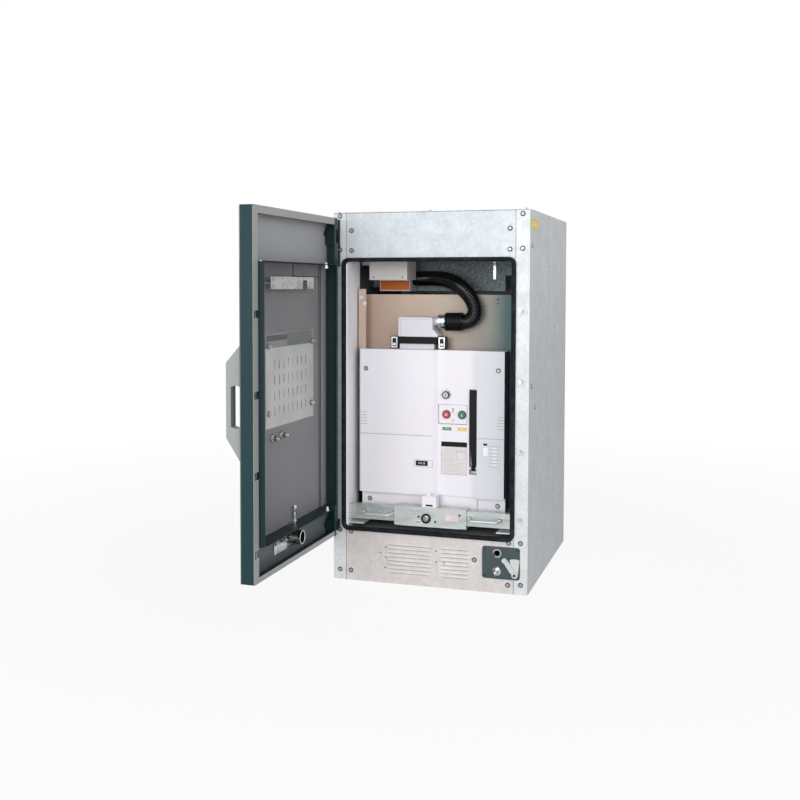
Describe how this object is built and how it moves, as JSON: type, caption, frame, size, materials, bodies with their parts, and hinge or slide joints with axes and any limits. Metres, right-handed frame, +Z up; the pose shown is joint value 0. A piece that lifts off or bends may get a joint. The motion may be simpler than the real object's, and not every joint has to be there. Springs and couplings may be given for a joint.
{
  "type": "withdrawable vacuum circuit breaker in its metal-clad compartment",
  "caption": "Withdrawable medium-voltage vacuum circuit breaker in a galvanised floor-standing compartment, with its dark hinged door open, racking beam, control hose and rear bushings.",
  "frame": {"origin": "middle of the base on the floor", "axes": "+X right, +Y from the door side into the depth, +Z up"},
  "size_m": [0.6513, 1.334, 1.12],
  "materials": {
    "galvanised_panel": "spangled zinc, satin",
    "galvanised_inner": "spangled zinc, satin",
    "inner_wall_steel": "satin",
    "zinc_plated": "bright zinc",
    "silver_plated": "bright plated",
    "cast_resin": "satin epoxy",
    "copper_bar": "bare metal",
    "gasket_rubber": "matt",
    "black_conduit": "corrugated, satin",
    "black_plastic": "matt",
    "light_grey_paint": "satin",
    "white_moulding": "satin",
    "tan_passivated": "yellow passivated zinc",
    "red_button": "gloss",
    "green_button": "gloss",
    "dark_door_paint": "fine textured satin",
    "dark_plate": "satin",
    "screen_sheet": "satin",
    "clear_pane": "clear gloss"
  },
  "bodies": {
    "cabinet": {"left_side_panel": "galvanised_panel", "right_side_panel": "galvanised_panel", "top_front_panel": "galvanised_panel", "base_front_panel": "galvanised_panel", "roof_panel": "galvanised_panel", "base_plate": "galvanised_panel", "compartment_floor": "galvanised_inner", "left_inner_wall": "inner_wall_steel", "right_inner_wall": "inner_wall_steel", "spout_plate": "galvanised_inner", "spout_bushings": "cast_resin", "busbar_terminals": "copper_bar", "door_gasket": "gasket_rubber", "wiring_box": "light_grey_paint", "upper_barrier": "galvanised_inner", "hose": "black_conduit", "left_guide_rail": "galvanised_inner", "right_guide_rail": "galvanised_inner", "cross_beam": "galvanised_inner", "beam_handles": "zinc_plated", "position_switch_box": "white_moulding", "door_keepers": "zinc_plated", "hinge_brackets": "dark_door_paint", "earthing_plate": "dark_plate", "earthing_lock": "zinc_plated", "lever_guide": "light_grey_paint"},
    "shutter": {"shutter_lever": "light_grey_paint"},
    "breaker": {"breaker_truck": "zinc_plated", "truck_wheels": "zinc_plated", "bulkhead_plate": "tan_passivated", "mechanism_housing": "light_grey_paint", "front_cover": "white_moulding", "side_cover": "white_moulding", "button_plate": "white_moulding", "key_lock": "zinc_plated", "operation_counter": "black_plastic", "plug_housing": "white_moulding", "plug_latch": "black_plastic", "hose_coupling": "silver_plated", "hose_cuff": "black_plastic", "pole_units": "cast_resin", "contact_arms": "silver_plated"},
    "off_push": {"off_button": "red_button"},
    "on_push": {"on_button": "green_button"},
    "charging": {"charging_handle": "black_plastic"},
    "door": {"door_pan": "dark_door_paint", "door_frame": "dark_door_paint", "slotted_screen": "screen_sheet", "window_pane": "clear_pane", "document_bracket": "zinc_plated", "racking_port": "zinc_plated", "door_interlock": "zinc_plated", "door_hinge_knuckles": "dark_door_paint"},
    "latch": {"latch_bar": "zinc_plated", "door_handle": "light_grey_paint"}
  },
  "joints": [
    {"name": "door_hinge", "type": "hinge", "parent": "cabinet", "child": "door", "pos_m": [-0.294, -0.392, 0.6245], "axis": [0, 0, -1], "range_deg": [-90, 30]},
    {"name": "latch_slide", "type": "slide", "parent": "door", "child": "latch", "axis": [0, 0, 1], "range_m": [0, 0.014]},
    {"name": "racking", "type": "slide", "parent": "cabinet", "child": "breaker", "axis": [0, 1, 0], "range_m": [0, 0.2]},
    {"name": "charging_turn", "type": "hinge", "parent": "breaker", "child": "charging", "pos_m": [0.123, -0.283, 0.352], "axis": [1, 0, 0], "range_deg": [0, 60], "stiffness_Nm_per_rad": 1.5},
    {"name": "off_press", "type": "slide", "parent": "breaker", "child": "off_push", "axis": [0, 1, 0], "range_m": [0, 0.004], "stiffness_N_per_m": 600},
    {"name": "on_press", "type": "slide", "parent": "breaker", "child": "on_push", "axis": [0, 1, 0], "range_m": [0, 0.004], "stiffness_N_per_m": 600},
    {"name": "shutter_turn", "type": "hinge", "parent": "cabinet", "child": "shutter", "pos_m": [0.263, -0.357, 0.058], "axis": [0, 1, 0], "range_deg": [0, 34]}
  ]
}
